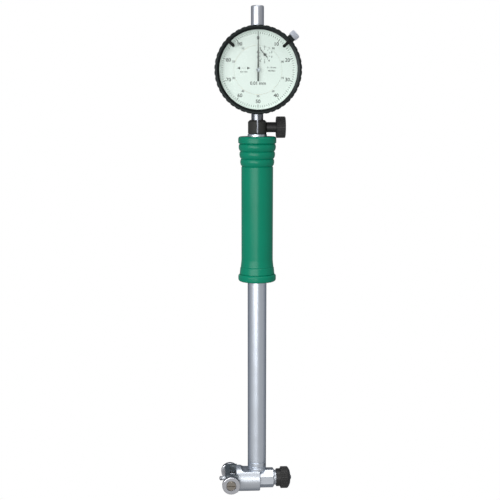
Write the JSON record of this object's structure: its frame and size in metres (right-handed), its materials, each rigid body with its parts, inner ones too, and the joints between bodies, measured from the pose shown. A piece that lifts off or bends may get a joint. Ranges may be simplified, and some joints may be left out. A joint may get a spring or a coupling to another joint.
{
  "type": "dial bore gauge",
  "caption": "Two-point dial bore gauge: sprung contact, anvil with lock nut and centring bridge with rollers on a long gripped tube, with a dial indicator clamped on top.",
  "frame": {"origin": "middle of the gauge's footprint on the table, with the gauge lying on its back", "axes": "+X along the measuring axis to the lock nut, +Y up the tube to the dial, +Z out of the dial"},
  "size_m": [0.0574, 0.3358, 0.0336],
  "materials": {
    "satin_steel": "satin ground steel",
    "chromed_steel": "satin chrome",
    "bright_steel": "bright turned steel",
    "grey_steel": "grey blued steel",
    "black_oxide": "black oxide",
    "green_plastic": "glossy green plastic",
    "black_anodised": "black anodised",
    "case_alloy": "satin lacquered alloy",
    "clear_crystal": "clear",
    "dial_white": "matt pale printed face",
    "hand_black": "matt black",
    "brass": "turned brass",
    "spring_steel": "spring wire",
    "hard_metal": "lapped hard metal"
  },
  "bodies": {
    "frame": {"head_body": "satin_steel", "anvil": "hard_metal", "tube": "chromed_steel", "tube_ferrule": "chromed_steel", "grip": "green_plastic", "clamp_collar": "black_oxide", "centre_dial": "dial_white", "stem": "bright_steel", "plunger_cap": "bright_steel", "bezel_clamp_lug": "black_anodised", "spindle_bush": "brass", "crank_pin": "bright_steel", "bridge_springs": "spring_steel", "spacer_washer": "bright_steel", "rod_guide": "brass", "rod_spring": "spring_steel", "dial_case": "case_alloy", "back_cover": "case_alloy", "back_cover_screws": "bright_steel", "movement_plate": "brass", "movement_bridge": "brass", "movement_pillars": "brass", "hairspring": "spring_steel", "plunger_spring": "spring_steel"},
    "contact": {"contact_spindle": "satin_steel", "contact_tip": "hard_metal"},
    "crank": {"bell_crank": "grey_steel"},
    "rod": {"push_rod": "satin_steel"},
    "plunger": {"plunger": "bright_steel", "contact_point": "hard_metal"},
    "lower_wheel": {"rack_wheel": "brass"},
    "upper_wheel": {"turns_wheel": "brass", "turns_pointer": "hand_black"},
    "pointer": {"centre_pinion": "brass", "main_pointer": "hand_black"},
    "bridge": {"centring_bridge": "grey_steel", "bridge_guide_pins": "bright_steel", "roller_screw_front": "bright_steel", "roller_screw_rear": "bright_steel"},
    "front_roller": {"roller_front": "bright_steel"},
    "rear_roller": {"roller_rear": "bright_steel"},
    "bezel": {"bezel": "black_anodised", "crystal": "clear_crystal", "scale_ring": "dial_white"},
    "left_marker": {"limit_marker_left": "hand_black"},
    "right_marker": {"limit_marker_right": "hand_black"},
    "bezel_screw": {"bezel_clamp_screw": "bright_steel"},
    "collar_screw": {"clamp_screw": "black_oxide"},
    "nut": {"anvil_nut": "black_oxide"}
  },
  "joints": [
    {"name": "rod_slide", "type": "slide", "parent": "frame", "child": "rod", "axis": [0, 1, 0], "range_m": [0, 0.0016], "stiffness_N_per_m": 300, "springref_m": -0.006, "deforming": ["rod_spring"]},
    {"name": "contact_slide", "type": "slide", "parent": "frame", "child": "contact", "axis": [1, 0, 0], "range_m": [0, 0.0016]},
    {"name": "crank_turn", "type": "hinge", "parent": "frame", "child": "crank", "pos_m": [-0.0042, -0.15435, 0.0168], "axis": [0, 0, 1], "range_deg": [0, 22]},
    {"name": "plunger_slide", "type": "slide", "parent": "frame", "child": "plunger", "axis": [0, 1, 0], "range_m": [0, 0.0016], "deforming": ["plunger_spring"]},
    {"name": "lower_wheel_turn", "type": "hinge", "parent": "frame", "child": "lower_wheel", "pos_m": [-0.0043, 0.11635, 0.0168], "axis": [0, 0, 1], "range_deg": [0, 57.6]},
    {"name": "upper_wheel_turn", "type": "hinge", "parent": "frame", "child": "upper_wheel", "pos_m": [0.0043, 0.13615, 0.0168], "axis": [0, 0, 1], "range_deg": [0, 57.6]},
    {"name": "pointer_turn", "type": "hinge", "parent": "frame", "child": "pointer", "pos_m": [0, 0.12625, 0.0168], "axis": [0, 0, -1], "range_deg": [0, 576]},
    {"name": "bridge_slide", "type": "slide", "parent": "frame", "child": "bridge", "axis": [1, 0, 0], "range_m": [0, 0.0043], "stiffness_N_per_m": 300, "springref_m": -0.005, "deforming": ["bridge_springs"]},
    {"name": "front_roller_roll", "type": "hinge", "parent": "bridge", "child": "front_roller", "pos_m": [-0.0188, -0.15855, 0.0313], "axis": [0, 0, 1], "continuous": true},
    {"name": "rear_roller_roll", "type": "hinge", "parent": "bridge", "child": "rear_roller", "pos_m": [-0.0188, -0.15855, 0.0023], "axis": [0, 0, 1], "continuous": true},
    {"name": "bezel_turn", "type": "hinge", "parent": "frame", "child": "bezel", "pos_m": [0, 0.12625, 0.0248], "axis": [0, 0, 1], "continuous": true},
    {"name": "left_marker_turn", "type": "hinge", "parent": "bezel", "child": "left_marker", "pos_m": [0, 0.12625, 0.0298], "axis": [0, 0, 1], "range_deg": [-40, 40]},
    {"name": "right_marker_turn", "type": "hinge", "parent": "bezel", "child": "right_marker", "pos_m": [0, 0.12625, 0.0298], "axis": [0, 0, 1], "range_deg": [-40, 40]},
    {"name": "bezel_screw_turn", "type": "hinge", "parent": "frame", "child": "bezel_screw", "pos_m": [0.02194, 0.14671, 0.0233], "axis": [0.7314, 0.682, 0], "range_deg": [0, 360]},
    {"name": "collar_screw_turn", "type": "hinge", "parent": "frame", "child": "collar_screw", "pos_m": [0.012, 0.08895, 0.0168], "axis": [1, 0, 0], "range_deg": [0, 360]},
    {"name": "nut_turn", "type": "hinge", "parent": "frame", "child": "nut", "pos_m": [0.018, -0.15855, 0.0168], "axis": [1, 0, 0], "range_deg": [0, 720]}
  ],
  "couplings": [
    {"joint": "contact_slide", "follows": "rod_slide", "ratio": 1},
    {"joint": "crank_turn", "follows": "rod_slide", "rad_per_m": 238.1},
    {"joint": "plunger_slide", "follows": "rod_slide", "ratio": 1},
    {"joint": "lower_wheel_turn", "follows": "rod_slide", "rad_per_m": 628.32},
    {"joint": "upper_wheel_turn", "follows": "rod_slide", "rad_per_m": 628.32},
    {"joint": "pointer_turn", "follows": "rod_slide", "rad_per_m": 6283.2}
  ]
}
